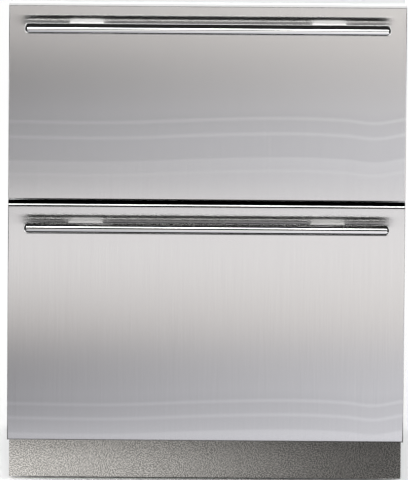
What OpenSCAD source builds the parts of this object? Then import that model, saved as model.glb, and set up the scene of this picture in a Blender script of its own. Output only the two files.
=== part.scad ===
// Under-counter double drawer freezer: an insulated case, two pull-out drawers behind steel fronts,
// and the cooling parts that the case holds. Front face towards -Y, floor at Z = 0, centred on X.

/* [Fronts] */
// How far the drawer fronts reach past the case on each side
front_cover = 3; // [0:0.5:6]
// Height of the upper front
upper_front_h = 338; // [300:1:380]
// Height of the lower front
lower_front_h = 420; // [390:1:450]
// Gap between the two fronts
front_gap = 4; // [3:0.5:6]
// Height of the lower front's underside above the floor
front_bottom_z = 85; // [80:1:110]
// Depth of the folded steel front
skin_depth = 25; // [20:1:35]
// Thickness of the front's steel sheet
skin_t = 1; // [0.8:0.1:1.5]
// Outer radius of the fronts' folded edges
fold_r = 1.6; // [1.5:0.1:4]
// Outer radius of the lower front's rounded top edge
lower_top_r = 10; // [2:0.5:12]
// Depth of the insulated shell behind the steel front
shell_depth = 28; // [20:1:40]
// Wall of the insulated shell
shell_t = 2; // [1.5:0.1:3]
// How far the insulated shell stays inside the front's edges
shell_inset = 6; // [4:0.5:7]

/* [Handles] */
// Diameter of the handle bar
handle_d = 19; // [15:0.5:24]
// Length of the handle bar
handle_l = 632; // [560:1:636]
// Distance from the front's face to the bar's centre
handle_offset = 45; // [38:1:60]
// Height of the upper bar's centre below its front's top edge
upper_handle_drop = 33; // [26:1:60]
// Height of the lower bar's centre below its front's top edge
lower_handle_drop = 40; // [26:1:60]
// Distance of each handle post from the middle
post_x = 209; // [150:1:230]
// Width of a handle post
post_w = 60; // [40:1:70]
// Height of a handle post
post_h = 8; // [7:0.5:12]
// Diameter of the screw that holds a post
post_screw_d = 5; // [4:0.5:5]

/* [Case] */
// Width of the case
case_w = 680; // [634:1:754]
// Depth from the face of the fronts to the back
body_depth = 592; // [570:1:640]
// How far the case top lies below the upper front's top edge
case_top_drop = 2; // [2:0.5:8]
// Thickness of the case's sheet metal
sheet_t = 1; // [0.8:0.1:1.5]
// Thickness of the insulation in the side walls and the top
foam_t = 45; // [38:1:50]
// Thickness of the inner liner
liner_t = 1.5; // [1.2:0.1:2.5]
// Thickness of the gasket between a drawer and the case
gasket_t = 7; // [6:0.5:9]
// Width of the gasket's section
gasket_w = 12; // [10:1:14]
// Thickness of the frame that the gaskets close on
frame_t = 2; // [1.5:0.1:3]
// Height of the mullion between the drawers
mullion_h = 44; // [42:1:50]
// Depth of the mullion
mullion_depth = 34; // [24:1:40]

/* [Base] */
// Height of the case floor above the ground
floor_z = 88; // [80:1:110]
// Height of the base pan above the ground
pan_z = 30; // [26:1:40]
// Depth of the machine compartment at the back
machine_depth = 200; // [195:1:220]
// Height of the machine compartment's ceiling above the ground
machine_top_z = 236; // [230:1:250]
// Setback of the kickplate from the fronts' face
kick_setback = 90; // [80:1:100]
// Height of the kickplate's lower edge above the ground
kick_bottom_z = 4; // [3:1:12]
// Thickness of the kickplate
kick_t = 1.2; // [1:0.1:2]
// Diameter of a levelling foot
foot_d = 56; // [40:1:60]
// Height of a levelling foot
foot_h = 10; // [8:1:14]
// Diameter of a levelling leg's stud
stud_d = 16; // [12:1:18]
// Distance of the legs' centres from the sides of the case
leg_inset = 40; // [35:1:55]

/* [Drawers] */
// Wall of the bins
bin_t = 3; // [2:0.5:4]
// Radius of the bins' upright corners
bin_r = 22; // [12:1:30]
// Height of a slide rail
rail_h = 45; // [38:1:50]
// Thickness of the slide rails' steel
rail_t = 1.5; // [1.2:0.1:2]
// Clearance between the upper bin and the mullion
upper_bin_gap = 8.5; // [6:0.5:60]
// Clearance between the lower bin and the liner's floor
lower_bin_gap = 7.5; // [6:0.5:60]

/* [Hidden] */

// Running clearance between flat sliding faces
slide_gap = 0.3;
// Clearance of a screw or stub in its hole, on the radius
hole_gap = 0.1;
// Clearance between the bar and the posts that hold it
seat_gap = 0.05;
// Steps in a quarter of a rounded corner
corner_steps = 6;

// Heights of the fronts
lower_front_top_z = front_bottom_z + lower_front_h;
upper_front_z = lower_front_top_z + front_gap;
upper_front_top_z = upper_front_z + upper_front_h;
case_top_z = upper_front_top_z - case_top_drop;

// Depths, measured along Y from the middle of the whole object
handle_reach = handle_offset + handle_d / 2;
face_y = handle_reach - (body_depth + handle_reach) / 2;
back_y = face_y + body_depth;
shell_y = face_y + skin_depth;
shell_back_y = shell_y + shell_depth;
case_front_y = shell_back_y + gasket_t;
case_inner_y = case_front_y + frame_t;
machine_y = back_y - machine_depth;
bar_y = face_y - handle_offset;

// Widths of the case and the fronts
case_half_w = case_w / 2;
front_w = case_w + 2 * front_cover;

// The cavity inside the liner
cavity_half_w = case_half_w - sheet_t - foam_t - liner_t;
cavity_floor_z = floor_z + foam_t + liner_t;
cavity_step_z = machine_top_z + foam_t + liner_t;
cavity_top_z = case_top_z - sheet_t - foam_t - liner_t;
cavity_step_y = machine_y - foam_t - liner_t;
cavity_back_y = back_y - sheet_t - foam_t - liner_t;
gap_middle_z = lower_front_top_z + front_gap / 2;

// The cold compartment behind the drawers
cover_t = 2;
cold_depth = 62;
cover_slot_step = 70;
cover_y = cavity_back_y - cold_depth;

// Slide rails: distances from the liner wall to each rail and the drawer's carrying ledge
rail_y = case_inner_y + 2;
rail_end_y = cover_y - 6;
fixed_rail_depth = 11;
middle_rail_u = 4;
middle_rail_depth = 8;
drawer_rail_u = 6.5;
drawer_rail_depth = 5;
ledge_u = 24;
middle_half_h = rail_h / 2 - rail_t - slide_gap;
drawer_half_h = middle_half_h - rail_t - slide_gap;

// Bins: the body hangs inside the ledges, and its rim lies on them
bin_half_w = cavity_half_w - ledge_u - 3;
rim_half_w = cavity_half_w - middle_rail_u - middle_rail_depth - 1.5;
rim_reach = 3;
bin_front_y = case_inner_y + 6;
bin_back_y = cover_y - 8;
bin_step_y = cavity_step_y - 12;
upper_rim_z = cavity_top_z - 36;
lower_rim_z = gap_middle_z - mullion_h / 2 - 44;
upper_bin_h = upper_rim_z - gap_middle_z - mullion_h / 2 - upper_bin_gap;
lower_bin_h = lower_rim_z - cavity_floor_z - lower_bin_gap;
lower_bin_rear_h = lower_rim_z - cavity_step_z - lower_bin_gap;

// Gaskets: inset from the fronts' edges, small beside the mullion
gasket_side_inset = 24;
gasket_far_inset = 19;
gasket_near_inset = 8;

// Kickplate, base and legs
kick_y = face_y + kick_setback;
pan_front_y = kick_y + kick_t;
pan_flange_h = 26;
clip_step = 200;
front_leg_y = pan_front_y + 50;
rear_leg_y = back_y - 45;
leg_x = case_half_w - leg_inset;
socket_h = 38;
socket_d = stud_d + 10;

// Handles: the bars' heights, the posts' rise above them and the screws
upper_bar_z = upper_front_top_z - upper_handle_drop;
lower_bar_z = lower_front_top_z - lower_handle_drop;
post_rise = 1;
screw_head_h = 4;
handle_screw_l = 16;

// Counter brackets and the drain
bracket_y = case_front_y + 70;
drain_x = 150;
drain_y = cavity_back_y - 25;
drain_d = 16;
bracket_x = case_half_w - 90;
bracket_hole_d = 6;

// Fans: blades' diameters and places, the shaft, the hub and the motor behind the blades
fan_d = 110;
fan_rise = 250;
fan_z = cavity_step_z + fan_rise;
fan_y = cover_y + cover_t + 10;
shaft_d = 4;
hub_d = 34;
blade_half_depth = 8;
fan_ring_t = 4;
fan_motor_d = 46;
fan_motor_l = 26;
motor_front = 14;

// Evaporator coil and its heater
evap_l = 380;
evap_pitch = 22;
evap_rows = 6;
evap_y = cover_y + cover_t + 28;
evap_z = cavity_step_z + 46;
evap_tube_d = 9;
heater_d = 7;
heater_z = evap_z - 12;
coil_tail = 12;
plate_t = 1.5;
trough_half_w = 225;
trough_h = 20;

// Machine compartment: from the compressor on the right to the control box on the left
machine_mid_y = (machine_y + back_y) / 2;
machine_floor_z = pan_z + sheet_t;
compressor_x = case_half_w - 140;
compressor_r = 76;
compressor_h = 150;
grommet_h = 12;
grommet_step = 62;
tray_z = machine_floor_z + grommet_h + compressor_h;
tray_size = [140, 120, 20];
condenser_fan_x = compressor_x - 138;
condenser_fan_d = 120;
condenser_fan_z = machine_floor_z + 82;
condenser_x = condenser_fan_x - 107;
cond_l = 150;
cond_tail = 6;
cond_pitch = 25;
cond_cols = 2;
cond_rows = 6;
cond_tube_d = 8;
control_box_x = 85 - case_half_w;
control_box_y = machine_mid_y - 20;
control_box_size = [140, 100, 90];
inlet_x = 60 - case_half_w;
inlet_z = machine_floor_z + 150;
inlet_size = [32, 24];
inlet_depth = 24;

// Refrigerant lines and the drier
line_d = 6;
pipe_y = machine_mid_y - 88;
capillary_x = 22.5 - cavity_half_w;
suction_x = capillary_x + 20;
drier_d = 18;
drier_l = 115;
drier_x = capillary_x + 30;
cond_out_z = machine_floor_z + 0.5 * cond_pitch;
cond_end_y = machine_mid_y - cond_l / 2 - cond_tail - 0.1;
discharge_z = machine_floor_z + grommet_h + 100;
suction_z = machine_floor_z + grommet_h + 68;
evap_end_x = -evap_l / 2 - coil_tail - 0.1;
evap_tube_z = evap_z + 0.5 * evap_pitch;
over_z = machine_top_z - sheet_t - 12;

// Control panel at the front of the cavity's ceiling
panel_w = 150;
panel_h = 24;
panel_depth = 34;
panel_y = case_inner_y + 6;
button_d = 12;
button_h = 7;
button_stand = 2.5;
button_travel = 1.2;
button_step = 34;

function arc(cx, cy, r, a0, a1, n = corner_steps) =
    [for (i = [0:n]) [cx + r * cos(a0 + (a1 - a0) * i / n), cy + r * sin(a0 + (a1 - a0) * i / n)]];

// Outline of a rectangle centred on the origin, with all corners rounded
function rounded_outline(w, h, r) = concat(
    arc(w / 2 - r, h / 2 - r, r, 0, 90), arc(r - w / 2, h / 2 - r, r, 90, 180),
    arc(r - w / 2, r - h / 2, r, 180, 270), arc(w / 2 - r, r - h / 2, r, 270, 360));

// Outline from 0 to depth with the two corners at 0 rounded, by r on the left and end_r on the right
function front_rounded_outline(w, depth, r, end_r) = concat(
    [[w / 2, depth], [-w / 2, depth]], arc(r - w / 2, r, r, 180, 270), arc(w / 2 - end_r, end_r, end_r, 270, 360));

// Side outline of the cavity, grown outwards by g, open at the front at y0
function cavity_outline(g, y0) = [
    [y0, cavity_floor_z - g], [cavity_step_y + g, cavity_floor_z - g],
    [cavity_step_y + g, cavity_step_z - g], [cavity_back_y + g, cavity_step_z - g],
    [cavity_back_y + g, cavity_top_z + g], [y0, cavity_top_z + g]];

module block(x, y, z) {
    translate([x[0], y[0], z[0]]) cube([x[1] - x[0], y[1] - y[0], z[1] - z[0]]);
}

// Extrudes an outline in Y and Z along X, centred
module along_x(w) { rotate([90, 0, 90]) linear_extrude(w, center = true) children(); }

// Extrudes an outline in X and Z along Y, from y0 to y1
module along_y(y0, y1) { translate([0, y1, 0]) rotate([90, 0, 0]) linear_extrude(y1 - y0) children(); }

module rod_x(d, l) { rotate([0, 90, 0]) cylinder(d = d, h = l, center = true, $fn = 48); }

// A hole or pin along +Y from y0 to y1
module rod_y(d, y0, y1) { translate([0, y0, 0]) rotate([-90, 0, 0]) cylinder(d = d, h = y1 - y0, $fn = 48); }

module both_sides() {
    children();
    mirror([1, 0, 0]) children();
}

module at_legs() {
    for (x = [-leg_x, leg_x], y = [front_leg_y, rear_leg_y]) translate([x, y, 0]) children();
}

// Case

module side_panel() {
    color("gainsboro") translate([case_half_w - sheet_t / 2, 0, 0]) along_x(sheet_t) polygon([
        [case_front_y, floor_z], [case_front_y, case_top_z], [back_y, case_top_z],
        [back_y, pan_z], [pan_front_y, pan_z], [pan_front_y, floor_z]]);
}

module left_side_panel() { mirror([1, 0, 0]) side_panel(); }

module right_side_panel() { side_panel(); }

module top_panel() {
    color("gainsboro") difference() {
        block([sheet_t - case_half_w, case_half_w - sheet_t], [case_front_y, back_y],
            [case_top_z - sheet_t, case_top_z]);
        for (x = [-bracket_x, bracket_x])
            translate([x, bracket_y, case_top_z - 2 * sheet_t]) cylinder(d = bracket_hole_d, h = 3 * sheet_t, $fn = 32);
    }
}

module back_panel() {
    color("lightgray") block([sheet_t - case_half_w, case_half_w - sheet_t], [back_y - sheet_t, back_y],
        [machine_top_z, case_top_z - sheet_t]);
}

module compartment_cover() {
    slot_w = 70;
    slot_h = 5;
    color("lightgray") difference() {
        block([sheet_t - case_half_w, case_half_w - sheet_t], [back_y - sheet_t, back_y],
            [machine_floor_z, machine_top_z - sheet_t]);
        for (i = [-2:2], row = [0:7])
            translate([70 + i * 90, back_y - sheet_t / 2, machine_floor_z + 45 + row * 17])
                cube([slot_w, 3 * sheet_t, slot_h], center = true);
        inlet_hole();
    }
}

module compartment_bulkhead() {
    color("silver") difference() {
        along_x(case_w - 2 * sheet_t) polygon([
            [case_front_y, floor_z], [machine_y, floor_z], [machine_y, machine_top_z - sheet_t],
            [back_y, machine_top_z - sheet_t], [back_y, machine_top_z], [machine_y - sheet_t, machine_top_z],
            [machine_y - sheet_t, floor_z + sheet_t], [case_front_y, floor_z + sheet_t]]);
        drain_hole();
        line_holes();
    }
}

// Upright hole for the drain spout
module drain_hole() {
    translate([drain_x, drain_y, machine_top_z - 20])
        cylinder(d = drain_d + 2 * slide_gap, h = cavity_step_z - machine_top_z + 40, $fn = 40);
}

module inner_liner() {
    color("white") difference() {
        along_x(2 * (cavity_half_w + liner_t)) polygon(cavity_outline(liner_t, case_inner_y));
        along_x(2 * cavity_half_w) polygon(cavity_outline(0, case_inner_y - 10));
        drain_hole();
        line_holes();
    }
}

module insulation_foam() {
    color("khaki") difference() {
        along_x(case_w - 2 * sheet_t) polygon([
            [case_inner_y, floor_z + sheet_t], [machine_y - sheet_t, floor_z + sheet_t],
            [machine_y - sheet_t, machine_top_z], [back_y - sheet_t, machine_top_z],
            [back_y - sheet_t, case_top_z - sheet_t], [case_inner_y, case_top_z - sheet_t]]);
        along_x(2 * (cavity_half_w + liner_t)) polygon(cavity_outline(liner_t, case_inner_y - 10));
        drain_hole();
        line_holes();
        for (x = [-bracket_x, bracket_x])
            translate([x, bracket_y, case_top_z - 30]) cylinder(d = 18, h = 40, $fn = 32);
    }
}

module front_frame() {
    color("whitesmoke") {
        difference() {
            block([sheet_t - case_half_w, case_half_w - sheet_t], [case_front_y, case_inner_y],
                [floor_z + sheet_t, case_top_z - sheet_t]);
            block([-cavity_half_w, cavity_half_w], [case_front_y - 5, case_inner_y + 5],
                [cavity_floor_z, cavity_top_z]);
        }
        block([-cavity_half_w, cavity_half_w], [case_front_y, case_front_y + mullion_depth],
            [gap_middle_z - mullion_h / 2, gap_middle_z + mullion_h / 2]);
    }
}

module counter_brackets() {
    color("silver") for (x = [-bracket_x, bracket_x]) difference() {
        translate([x, bracket_y, case_top_z])
            linear_extrude(case_top_drop - 0.5) polygon(rounded_outline(40, 70, 5));
        translate([x, bracket_y, case_top_z - 5]) cylinder(d = bracket_hole_d, h = 20, $fn = 32);
    }
}

module base_pan() {
    x = case_half_w - sheet_t;
    color("silver") difference() {
        union() {
            block([-x, x], [pan_front_y, back_y], [pan_z, machine_floor_z]);
            block([-x, x], [pan_front_y, pan_front_y + sheet_t], [pan_z, pan_z + pan_flange_h]);
            both_sides() block([x - sheet_t, x], [pan_front_y, back_y - sheet_t], [pan_z, pan_z + pan_flange_h]);
        }
        at_legs() translate([0, 0, pan_z - 5]) cylinder(d = stud_d + 2 * slide_gap, h = 20, $fn = 40);
    }
}

module leg_sockets() {
    color("dimgray") at_legs() difference() {
        translate([0, 0, machine_floor_z]) cylinder(d = socket_d, h = socket_h, $fn = 40);
        translate([0, 0, pan_z]) cylinder(d = stud_d + 2 * hole_gap, h = socket_h + 20, $fn = 40);
    }
}

module leg(x, y) {
    color("dimgray") translate([x, y, 0]) {
        rotate_extrude($fn = 48) polygon(concat([[0, 0]], arc(foot_d / 2 - 2, 2, 2, -90, 0),
            arc(foot_d / 2 - 3, foot_h - 3, 3, 0, 90), [[0, foot_h]]));
        translate([0, 0, foot_h - 1]) cylinder(d = stud_d, h = machine_floor_z + socket_h - foot_h - 3, $fn = 40);
    }
}

module front_left_leg() { leg(-leg_x, front_leg_y); }

module front_right_leg() { leg(leg_x, front_leg_y); }

module rear_left_leg() { leg(-leg_x, rear_leg_y); }

module rear_right_leg() { leg(leg_x, rear_leg_y); }

module kickplate() {
    top_z = floor_z - 0.5;
    return_x = case_half_w - sheet_t - slide_gap;
    color("darkgray") {
        block([-case_half_w, case_half_w], [kick_y, kick_y + kick_t], [kick_bottom_z, top_z]);
        block([-return_x, return_x], [kick_y, kick_y + 14], [top_z - kick_t, top_z]);
        block([-return_x, return_x], [kick_y, kick_y + 14], [kick_bottom_z, kick_bottom_z + kick_t]);
    }
}

module kickplate_clips() {
    color("dimgray") for (i = [-1:1]) translate([i * clip_step, 0, 0]) difference() {
        block([-15, 15], [pan_front_y, pan_front_y + 9], [pan_z + 8, pan_z + pan_flange_h + 4]);
        block([-20, 20], [pan_front_y - 5, pan_front_y + sheet_t], [pan_z, pan_z + pan_flange_h]);
    }
}

// Slides

// Channel on the right wall: web at distance u from the wall, flanges of the given depth
module channel(u, depth, half_h, web_first) {
    x = cavity_half_w - u;
    web_x = web_first ? [x - rail_t, x] : [x - depth, x - depth + rail_t];
    both_sides() {
        block(web_x, [rail_y, rail_end_y], [-half_h, half_h]);
        block([x - depth, x], [rail_y, rail_end_y], [half_h - rail_t, half_h]);
        block([x - depth, x], [rail_y, rail_end_y], [-half_h, rail_t - half_h]);
    }
}

module fixed_rails() {
    color("silver") for (rim = [upper_rim_z, lower_rim_z])
        translate([0, 0, rim - drawer_half_h]) channel(0, fixed_rail_depth, rail_h / 2, true);
}

module middle_rails(rim) {
    color("lightslategray") translate([0, 0, rim - drawer_half_h])
        channel(middle_rail_u, middle_rail_depth, middle_half_h, true);
}

module upper_middle_rails() { middle_rails(upper_rim_z); }

module lower_middle_rails() { middle_rails(lower_rim_z); }

module drawer_rails(rim) {
    web_x = cavity_half_w - drawer_rail_u - drawer_rail_depth;
    color("silver") translate([0, 0, rim - drawer_half_h]) {
        channel(drawer_rail_u, drawer_rail_depth, drawer_half_h, false);
        both_sides() {
            block([cavity_half_w - ledge_u, web_x + rail_t], [rail_y, rail_end_y],
                [drawer_half_h - rail_t, drawer_half_h]);
            block([web_x, web_x + rail_t], [shell_back_y, rail_y], [-drawer_half_h, drawer_half_h]);
            block([web_x - 24, web_x + rail_t], [shell_back_y, shell_back_y + 2],
                [-drawer_half_h, drawer_half_h]);
        }
    }
}

module upper_drawer_rails() { drawer_rails(upper_rim_z); }

module lower_drawer_rails() { drawer_rails(lower_rim_z); }

// Bins

// Upright block with rounded corners between two depths, inset by g
module bin_block(y0, y1, z0, z1, g) {
    translate([0, (y0 + y1) / 2, z0])
        linear_extrude(z1 - z0) polygon(rounded_outline(2 * (bin_half_w - g), y1 - y0 - 2 * g, bin_r - g));
}

module bin_rim(rim) {
    translate([0, (bin_front_y + bin_back_y) / 2, rim]) linear_extrude(bin_t)
        polygon(rounded_outline(2 * rim_half_w, bin_back_y - bin_front_y + 2 * rim_reach, bin_r));
}

module upper_bin() {
    color("white") difference() {
        union() {
            bin_block(bin_front_y, bin_back_y, upper_rim_z - upper_bin_h, upper_rim_z, 0);
            bin_rim(upper_rim_z);
        }
        bin_block(bin_front_y, bin_back_y, upper_rim_z - upper_bin_h + bin_t, upper_rim_z + 20, bin_t);
    }
}

module lower_bin() {
    color("white") difference() {
        union() {
            bin_block(bin_front_y, bin_step_y, lower_rim_z - lower_bin_h, lower_rim_z, 0);
            bin_block(bin_front_y, bin_back_y, lower_rim_z - lower_bin_rear_h, lower_rim_z, 0);
            bin_rim(lower_rim_z);
        }
        bin_block(bin_front_y, bin_step_y, lower_rim_z - lower_bin_h + bin_t, lower_rim_z + 20, bin_t);
        bin_block(bin_front_y, bin_back_y, lower_rim_z - lower_bin_rear_h + bin_t, lower_rim_z + 20, bin_t);
    }
}

// Drawer fronts, each from its underside z up to z + h

module at_posts() {
    for (x = [-post_x, post_x]) translate([x, 0, 0]) children();
}

// Front's volume, g inside its outer surface and down to the given depth behind its face
module front_volume(z, h, top_r, g, depth) {
    w = front_w - 2 * g;
    tall = h - 2 * g;
    translate([0, face_y + g, z + h / 2]) intersection() {
        linear_extrude(tall, center = true) polygon(front_rounded_outline(w, depth - g, fold_r - g, fold_r - g));
        rotate([0, -90, 0])
            linear_extrude(w, center = true) polygon(front_rounded_outline(tall, depth - g, fold_r - g, top_r - g));
    }
}

module front_skin(z, h, top_r, post_z) {
    color("silver") difference() {
        front_volume(z, h, top_r, 0, skin_depth);
        front_volume(z, h, top_r, skin_t, skin_depth + 5);
        at_posts() translate([0, 0, post_z]) rod_y(post_screw_d + 2 * slide_gap, face_y - 5, face_y + 5);
    }
}

module door_core(z, h, top_r, post_z) {
    inset = shell_inset + shell_t;
    color("khaki") difference() {
        union() {
            front_volume(z, h, top_r, skin_t, skin_depth - shell_t);
            block([inset - front_w / 2, front_w / 2 - inset], [shell_y - shell_t, shell_back_y - shell_t],
                [z + inset, z + h - inset]);
        }
        at_posts() translate([0, 0, post_z]) rod_y(2 * post_screw_d + 1, face_y, face_y + skin_t + screw_head_h + 0.5);
    }
}

module door_shell(z, h) {
    inset = shell_inset + shell_t;
    color("whitesmoke") difference() {
        union() {
            block([skin_t - front_w / 2, front_w / 2 - skin_t], [shell_y - shell_t, shell_y],
                [z + skin_t, z + h - skin_t]);
            block([shell_inset - front_w / 2, front_w / 2 - shell_inset], [shell_y - shell_t / 2, shell_back_y],
                [z + shell_inset, z + h - shell_inset]);
        }
        block([inset - front_w / 2, front_w / 2 - inset], [shell_y - 2 * shell_t, shell_back_y - shell_t],
            [z + inset, z + h - inset]);
    }
}

// Ring between two heights, closed against the case at rest
module gasket(z0, z1) {
    w = front_w - 2 * gasket_side_inset;
    color("lightgray") translate([0, 0, (z0 + z1) / 2]) along_y(shell_back_y, case_front_y - slide_gap) difference() {
        polygon(rounded_outline(w, z1 - z0, 6));
        polygon(rounded_outline(w - 2 * gasket_w, z1 - z0 - 2 * gasket_w, 2));
    }
}

module handle_bar(z) {
    end_r = handle_d * 0.4;
    color("silver") translate([0, bar_y, z]) rotate([0, 90, 0]) rotate_extrude($fn = 64) polygon(concat(
        [[0, -handle_l / 2]], arc(handle_d / 2 - end_r, end_r - handle_l / 2, end_r, -90, 0),
        arc(handle_d / 2 - end_r, handle_l / 2 - end_r, end_r, 0, 90), [[0, handle_l / 2]]));
}

module handle_posts(bar_z) {
    color("silver") difference() {
        at_posts() translate([0, 0, bar_z + post_rise]) along_y(bar_y, face_y)
            polygon(rounded_outline(post_w, post_h, post_h / 2 - 0.2));
        translate([0, bar_y, bar_z]) rod_x(handle_d + 2 * seat_gap, handle_l);
        at_posts() translate([0, 0, bar_z + post_rise])
            rod_y(post_screw_d + 2 * hole_gap, face_y - handle_screw_l - 2, face_y + 5);
    }
}

module handle_screws(post_z) {
    color("dimgray") at_posts() translate([0, 0, post_z]) {
        rod_y(2 * post_screw_d, face_y + skin_t, face_y + skin_t + screw_head_h);
        rod_y(post_screw_d, face_y - handle_screw_l, face_y + skin_t + 1);
    }
}

module upper_front_skin() { front_skin(upper_front_z, upper_front_h, fold_r, upper_bar_z + post_rise); }

module lower_front_skin() { front_skin(front_bottom_z, lower_front_h, lower_top_r, lower_bar_z + post_rise); }

module upper_door_core() { door_core(upper_front_z, upper_front_h, fold_r, upper_bar_z + post_rise); }

module lower_door_core() { door_core(front_bottom_z, lower_front_h, lower_top_r, lower_bar_z + post_rise); }

module upper_door_shell() { door_shell(upper_front_z, upper_front_h); }

module lower_door_shell() { door_shell(front_bottom_z, lower_front_h); }

module upper_gasket() { gasket(upper_front_z + gasket_near_inset, upper_front_top_z - gasket_far_inset); }

module lower_gasket() { gasket(front_bottom_z + gasket_far_inset, lower_front_top_z - gasket_near_inset); }

module upper_handle_bar() { handle_bar(upper_bar_z); }

module lower_handle_bar() { handle_bar(lower_bar_z); }

module upper_handle_posts() { handle_posts(upper_bar_z); }

module lower_handle_posts() { handle_posts(lower_bar_z); }

module upper_handle_screws() { handle_screws(upper_bar_z + post_rise); }

module lower_handle_screws() { handle_screws(lower_bar_z + post_rise); }

// Cooling parts

// Serpentine tube through fins: tubes along X, rows above each other, both ends at -X
module finned_coil(l, cols, rows, pitch, tube_d, fin_step, fin_t, tail) {
    module link(side, y0, z0, y1, z1) {
        translate([side * l / 2, y0, z0]) rotate([y1 > y0 ? -90 : 0, 0, 0]) cylinder(d = tube_d, h = pitch, $fn = 24);
        for (p = [[y0, z0], [y1, z1]]) translate([side * l / 2, p[0], p[1]]) sphere(d = tube_d + 0.4, $fn = 24);
    }
    for (col = [0:cols - 1]) {
        y = (col - (cols - 1) / 2) * pitch;
        for (row = [0:rows - 1]) translate([0, y, (row + 0.5) * pitch]) rod_x(tube_d, l);
        for (row = [0:rows - 2]) link(row % 2 == 0 ? 1 : -1, y, (row + 0.5) * pitch, y, (row + 1.5) * pitch);
        translate([-(l + tail) / 2, y, pitch / 2]) rod_x(tube_d, tail);
    }
    link(-1, -pitch / 2, (rows - 0.5) * pitch, pitch / 2, (rows - 0.5) * pitch);
    for (x = [-l / 2 + 12:fin_step:l / 2 - 12])
        block([x - fin_t / 2, x + fin_t / 2], [-cols * pitch / 2, cols * pitch / 2], [0, rows * pitch]);
}

module heater_run(d) {
    for (y = [-evap_pitch / 2, evap_pitch / 2]) translate([0, evap_y + y, heater_z]) rod_x(d, evap_l + 20);
}

module evaporator_coil() {
    color("lightsteelblue") difference() {
        union() {
            translate([0, evap_y, evap_z])
                finned_coil(evap_l, 2, evap_rows, evap_pitch, evap_tube_d, 23, 1, coil_tail);
            for (x = [-evap_l / 2 + 2, evap_l / 2 - 2]) block([x - plate_t / 2, x + plate_t / 2],
                [evap_y - evap_pitch, cavity_back_y], [evap_z - 20, evap_z + evap_rows * evap_pitch]);
        }
        heater_run(heater_d + 2 * slide_gap);
    }
}

module defrost_heater() {
    color("dimgray") {
        heater_run(heater_d);
        translate([evap_l / 2 + 10, evap_y, heater_z]) rotate([0, 0, -90])
            rotate_extrude(angle = 180, $fn = 48) translate([evap_pitch / 2, 0]) circle(d = heater_d, $fn = 24);
    }
}

module drain_trough() {
    wall = 2;
    y = [cover_y + cover_t + slide_gap, cavity_back_y - slide_gap];
    color("white") difference() {
        union() {
            block([-trough_half_w, trough_half_w], y, [cavity_step_z, cavity_step_z + trough_h]);
            translate([drain_x, drain_y, tray_z + 14])
                cylinder(d = drain_d, h = cavity_step_z - tray_z - 10, $fn = 40);
        }
        block([wall - trough_half_w, trough_half_w - wall], [y[0] + wall, y[1] - wall],
            [cavity_step_z + wall, cavity_step_z + trough_h + 10]);
        translate([drain_x, drain_y, tray_z]) cylinder(d = drain_d - 2 * wall, h = cavity_step_z, $fn = 40);
    }
}

module evaporator_cover() {
    color("white") difference() {
        block([slide_gap - cavity_half_w, cavity_half_w - slide_gap], [cover_y, cover_y + cover_t],
            [cavity_step_z, cavity_top_z]);
        intersection() {
            translate([0, 0, fan_z]) rod_y(fan_d, cover_y - 5, cover_y + 10);
            for (row = [-4:4]) translate([0, cover_y, fan_z + row * 11]) cube([fan_d, 20, 7], center = true);
        }
        for (i = [-3:3], row = [0:2])
            translate([i * cover_slot_step, cover_y, cavity_step_z + 24 + row * 14]) cube([50, 20, 7], center = true);
    }
}

// Fan parts, with the axis along Y, the blades' middle at 0 and the motor on the +Y side

module fan_blade(d) {
    difference() {
        union() {
            rod_y(hub_d, -blade_half_depth, blade_half_depth);
            intersection() {
                rod_y(d - 2, -10, 10);
                for (a = [0:72:359]) rotate([0, a, 0]) translate([0, 0, d / 4 + 2]) rotate([0, 0, 30])
                    cube([34, 1.8, d / 2], center = true);
            }
        }
        rod_y(shaft_d + 2 * seat_gap, -20, 20);
    }
}

module fan_motor(d) {
    inner_d = d + 2 * fan_ring_t;
    difference() {
        rod_y(inner_d + 2 * fan_ring_t, -blade_half_depth, motor_front);
        rod_y(inner_d, -blade_half_depth - 5, motor_front + 5);
    }
    rod_y(fan_motor_d, motor_front - 4, motor_front + fan_motor_l);
    for (a = [0, 120, 240]) rotate([0, a, 0])
        block([-5, 5], [motor_front - 3.5, motor_front - 0.5], [15, (inner_d + fan_ring_t) / 2]);
    rod_y(shaft_d, 1 - blade_half_depth, motor_front);
}

module at_evaporator_fan() { translate([0, fan_y, fan_z]) children(); }

module at_condenser_fan() {
    translate([condenser_fan_x, machine_mid_y, condenser_fan_z]) rotate([0, 0, -90]) children();
}

module evaporator_fan_blade() { color("white") at_evaporator_fan() fan_blade(fan_d); }

module evaporator_fan_motor() { color("dimgray") at_evaporator_fan() fan_motor(fan_d); }

module condenser_fan_blade() { color("black") at_condenser_fan() fan_blade(condenser_fan_d); }

module condenser_fan_motor() { color("dimgray") at_condenser_fan() fan_motor(condenser_fan_d); }

module fan_shroud() {
    size = 2 * (condenser_fan_z - machine_floor_z);
    wall = 1.5;
    depth = condenser_fan_x - blade_half_depth - condenser_x - cond_cols * cond_pitch / 2;
    y = -blade_half_depth - depth;
    color("darkgray") at_condenser_fan() difference() {
        translate([-size / 2, y, -size / 2]) cube([size, depth, size]);
        translate([wall - size / 2, y - 5, wall - size / 2])
            cube([size - 2 * wall, depth + 5 - wall, size - 2 * wall]);
        rod_y(condenser_fan_d + 4, -20, 0);
    }
}

module condenser_coil() {
    color("dimgray") translate([condenser_x, machine_mid_y, machine_floor_z]) rotate([0, 0, 90])
        finned_coil(cond_l, cond_cols, cond_rows, cond_pitch, cond_tube_d, 9.5, 1, cond_tail);
}

module at_grommets() {
    for (x = [-grommet_step, grommet_step], y = [-grommet_step, grommet_step])
        translate([compressor_x + x, machine_mid_y + y, machine_floor_z]) children();
}

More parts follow.
